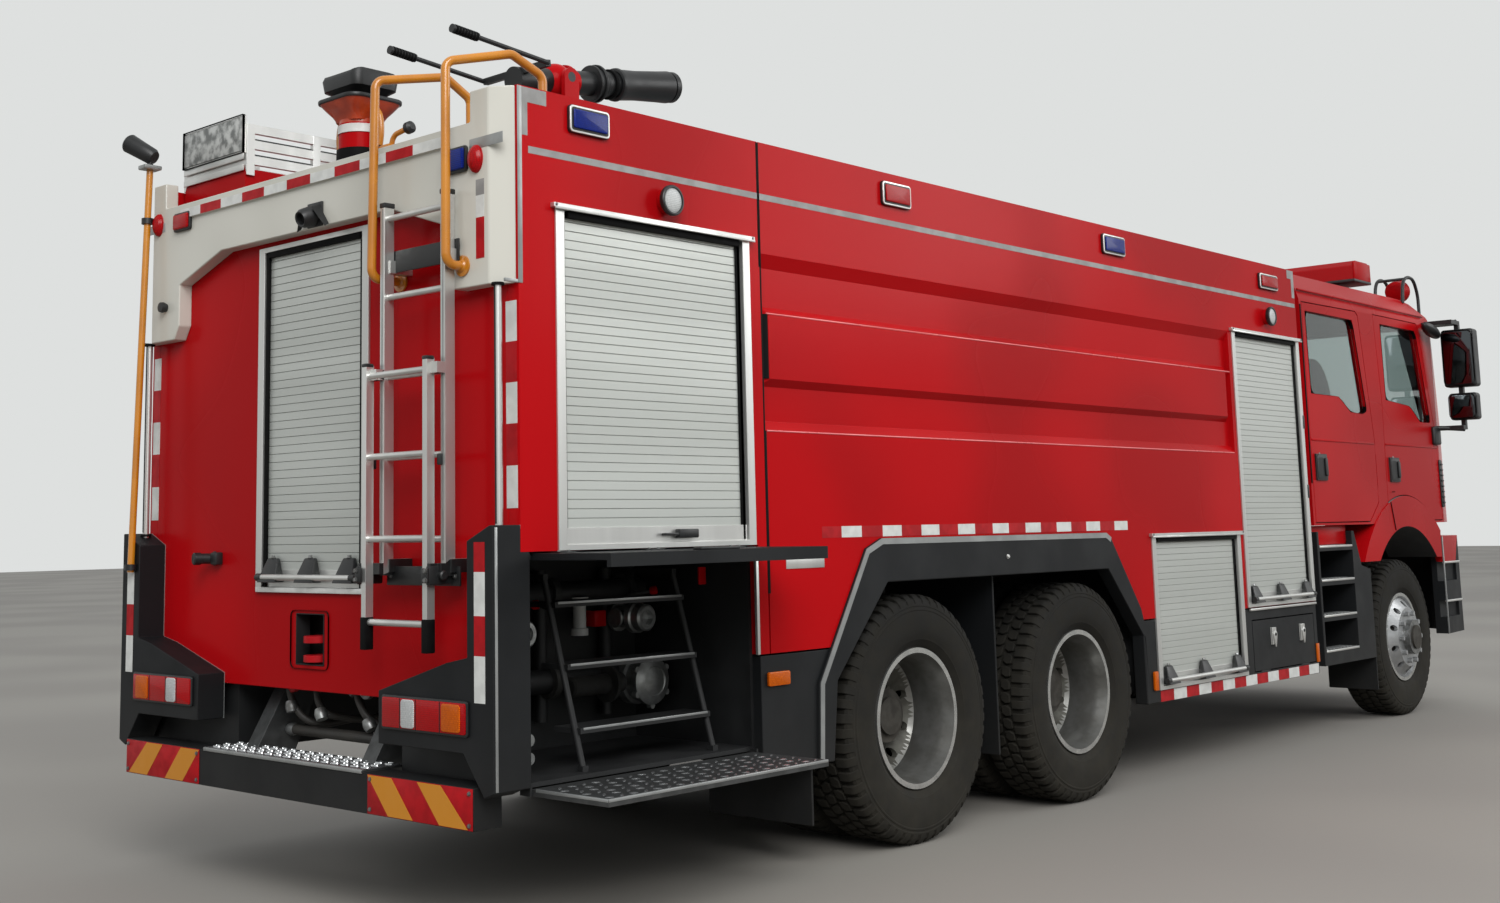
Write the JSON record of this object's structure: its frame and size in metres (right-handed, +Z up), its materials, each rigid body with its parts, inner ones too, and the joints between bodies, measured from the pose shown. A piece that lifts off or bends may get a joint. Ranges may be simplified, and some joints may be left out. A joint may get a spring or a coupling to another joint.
{
  "type": "fire truck",
  "caption": "Three-axle fire truck with a four-door tilting cab, roller shutter lockers, open pump bay, rear ladder and a roof water cannon.",
  "frame": {"origin": "on the ground under the middle of the vehicle's bounding box", "axes": "+X forward, +Y to the vehicle's left, +Z up"},
  "size_m": [9.916, 3.166, 3.6782],
  "materials": {
    "red_paint": "gloss enamel over steel and pressed panels",
    "white_frame": "satin off-white paint",
    "dark_trim": "grained charcoal moulding",
    "black_plastic": "satin black moulding",
    "shutter_alloy": "anodised slats",
    "bright_alloy": "extruded and brushed",
    "wheel_steel": "silver painted disc wheel",
    "tyre_rubber": "moulded rubber",
    "frame_black": "black chassis paint",
    "cast_grey": "rough casting",
    "bay_black": "matte black inside",
    "valve_alloy": "cast and machined",
    "tread_plate": "chequer plate",
    "rail_orange": "gloss orange-yellow tube",
    "lamp_red": "moulded lens",
    "glass": "tinted safety glass",
    "seat_cloth": "woven seat cover and moulded dash",
    "monitor_red": "gloss red casting",
    "deck_grey": "chequered roof deck"
  },
  "bodies": {
    "root": {"chassis_frame": "frame_black", "axles": "frame_black", "driveline": "cast_grey", "body_core": "bay_black", "side_left": "red_paint", "side_right": "red_paint", "roller_shutters": "shutter_alloy", "bright_trim": "bright_alloy", "roof_deck": "deck_grey", "rear_panel": "red_paint", "rear_frame": "white_frame", "pump_bays": "bay_black", "pump_valves": "valve_alloy", "corner_mouldings": "dark_trim", "arch_trim": "dark_trim", "lower_trim": "dark_trim", "lamps": "lamp_red", "handrails": "rail_orange", "ladder_upper": "bright_alloy", "roof_rack": "bright_alloy", "roof_bases": "monitor_red", "bumpers": "dark_trim"},
    "cab": {"cab_shell": "red_paint", "cab_glass": "glass", "cab_interior": "seat_cloth", "light_bar": "lamp_red", "cab_black_trim": "black_plastic"},
    "sliding_ladder": {"ladder_lower": "bright_alloy"},
    "mast_lamp": {"mast_head": "black_plastic"},
    "monitor_base": {"cannon_turret": "monitor_red"},
    "monitor_barrel": {"cannon_barrel": "black_plastic"},
    "front_wheel_right": {"wheel_front_right": "wheel_steel", "tyre_front_right": "tyre_rubber"},
    "steering_knuckle_right": {"knuckle_right": "cast_grey"},
    "mid_wheels_right": {"wheel_mid_right": "wheel_steel", "tyres_mid_right": "tyre_rubber"},
    "rear_wheels_right": {"wheel_rear_right": "wheel_steel", "tyres_rear_right": "tyre_rubber"},
    "cab_door_front_right": {"door_front_right": "red_paint", "pane_front_right": "glass"},
    "cab_door_rear_right": {"door_rear_right": "red_paint", "pane_rear_right": "glass"},
    "bay_flap_right": {"flap_right": "dark_trim"},
    "bay_board_right": {"step_board_right": "tread_plate"},
    "locker_door_right": {"toolbox_door_right": "dark_trim"},
    "front_wheel_left": {"wheel_front_left": "wheel_steel", "tyre_front_left": "tyre_rubber"},
    "steering_knuckle_left": {"knuckle_left": "cast_grey"},
    "mid_wheels_left": {"wheel_mid_left": "wheel_steel", "tyres_mid_left": "tyre_rubber"},
    "rear_wheels_left": {"wheel_rear_left": "wheel_steel", "tyres_rear_left": "tyre_rubber"},
    "cab_door_front_left": {"door_front_left": "red_paint", "pane_front_left": "glass"},
    "cab_door_rear_left": {"door_rear_left": "red_paint", "pane_rear_left": "glass"},
    "bay_flap_left": {"flap_left": "dark_trim"},
    "bay_board_left": {"step_board_left": "tread_plate"},
    "locker_door_left": {"toolbox_door_left": "dark_trim"}
  },
  "joints": [
    {"name": "cab_tilt", "type": "hinge", "parent": "root", "child": "cab", "pos_m": [4.8, 0, 1.15], "axis": [0, 1, 0], "range_deg": [0, 50]},
    {"name": "ladder_slide", "type": "slide", "parent": "root", "child": "sliding_ladder", "axis": [0, 0, -1], "range_m": [0, 0.4]},
    {"name": "mast_turn", "type": "hinge", "parent": "root", "child": "mast_lamp", "pos_m": [-4.56, 0, 3.08], "axis": [0, 0, 1], "range_deg": [-175, 175]},
    {"name": "monitor_turn", "type": "hinge", "parent": "root", "child": "monitor_base", "pos_m": [-3.45, 0, 3.25], "axis": [0, 0, 1], "range_deg": [-170, 170]},
    {"name": "monitor_pitch", "type": "hinge", "parent": "monitor_base", "child": "monitor_barrel", "pos_m": [-3.45, 0, 3.48], "axis": [0, -1, 0], "range_deg": [-20, 30]},
    {"name": "steer_right", "type": "hinge", "parent": "root", "child": "steering_knuckle_right", "pos_m": [3.56, -0.84, 0.538], "axis": [0, 0, 1], "range_deg": [-38, 38]},
    {"name": "spin_front_right", "type": "hinge", "parent": "steering_knuckle_right", "child": "front_wheel_right", "pos_m": [3.56, -1.03, 0.538], "axis": [0, 1, 0], "continuous": true},
    {"name": "spin_mid_right", "type": "hinge", "parent": "root", "child": "mid_wheels_right", "pos_m": [-1.04, -0.925, 0.538], "axis": [0, 1, 0], "continuous": true},
    {"name": "spin_rear_right", "type": "hinge", "parent": "root", "child": "rear_wheels_right", "pos_m": [-2.44, -0.925, 0.538], "axis": [0, 1, 0], "continuous": true},
    {"name": "open_front_right", "type": "hinge", "parent": "cab", "child": "cab_door_front_right", "pos_m": [4.3, -1.24, 1.7], "axis": [0, 0, 1], "range_deg": [0, 70]},
    {"name": "open_rear_right", "type": "hinge", "parent": "cab", "child": "cab_door_rear_right", "pos_m": [3.075, -1.24, 1.7], "axis": [0, 0, 1], "range_deg": [0, 70]},
    {"name": "flap_right_turn", "type": "hinge", "parent": "root", "child": "bay_flap_right", "pos_m": [-4.14, -1.226, 1.296], "axis": [1, 0, 0], "range_deg": [0, 90]},
    {"name": "board_right_turn", "type": "hinge", "parent": "root", "child": "bay_board_right", "pos_m": [-4.14, -1.226, 0.5], "axis": [-1, 0, 0], "range_deg": [0, 90]},
    {"name": "locker_right_turn", "type": "hinge", "parent": "root", "child": "locker_door_right", "pos_m": [1.378, -1.248, 0.49], "axis": [1, 0, 0], "range_deg": [0, 90]},
    {"name": "steer_left", "type": "hinge", "parent": "root", "child": "steering_knuckle_left", "pos_m": [3.56, 0.84, 0.538], "axis": [0, 0, 1], "range_deg": [-38, 38]},
    {"name": "spin_front_left", "type": "hinge", "parent": "steering_knuckle_left", "child": "front_wheel_left", "pos_m": [3.56, 1.03, 0.538], "axis": [0, 1, 0], "continuous": true},
    {"name": "spin_mid_left", "type": "hinge", "parent": "root", "child": "mid_wheels_left", "pos_m": [-1.04, 0.925, 0.538], "axis": [0, 1, 0], "continuous": true},
    {"name": "spin_rear_left", "type": "hinge", "parent": "root", "child": "rear_wheels_left", "pos_m": [-2.44, 0.925, 0.538], "axis": [0, 1, 0], "continuous": true},
    {"name": "open_front_left", "type": "hinge", "parent": "cab", "child": "cab_door_front_left", "pos_m": [4.3, 1.24, 1.7], "axis": [0, 0, -1], "range_deg": [0, 70]},
    {"name": "open_rear_left", "type": "hinge", "parent": "cab", "child": "cab_door_rear_left", "pos_m": [3.075, 1.24, 1.7], "axis": [0, 0, -1], "range_deg": [0, 70]},
    {"name": "flap_left_turn", "type": "hinge", "parent": "root", "child": "bay_flap_left", "pos_m": [-4.14, 1.226, 1.296], "axis": [1, 0, 0], "range_deg": [0, 90]},
    {"name": "board_left_turn", "type": "hinge", "parent": "root", "child": "bay_board_left", "pos_m": [-4.14, 1.226, 0.5], "axis": [-1, 0, 0], "range_deg": [0, 90]},
    {"name": "locker_left_turn", "type": "hinge", "parent": "root", "child": "locker_door_left", "pos_m": [1.378, 1.248, 0.49], "axis": [-1, 0, 0], "range_deg": [0, 90]}
  ],
  "couplings": [
    {"joint": "steer_left", "follows": "steer_right", "ratio": 1}
  ]
}
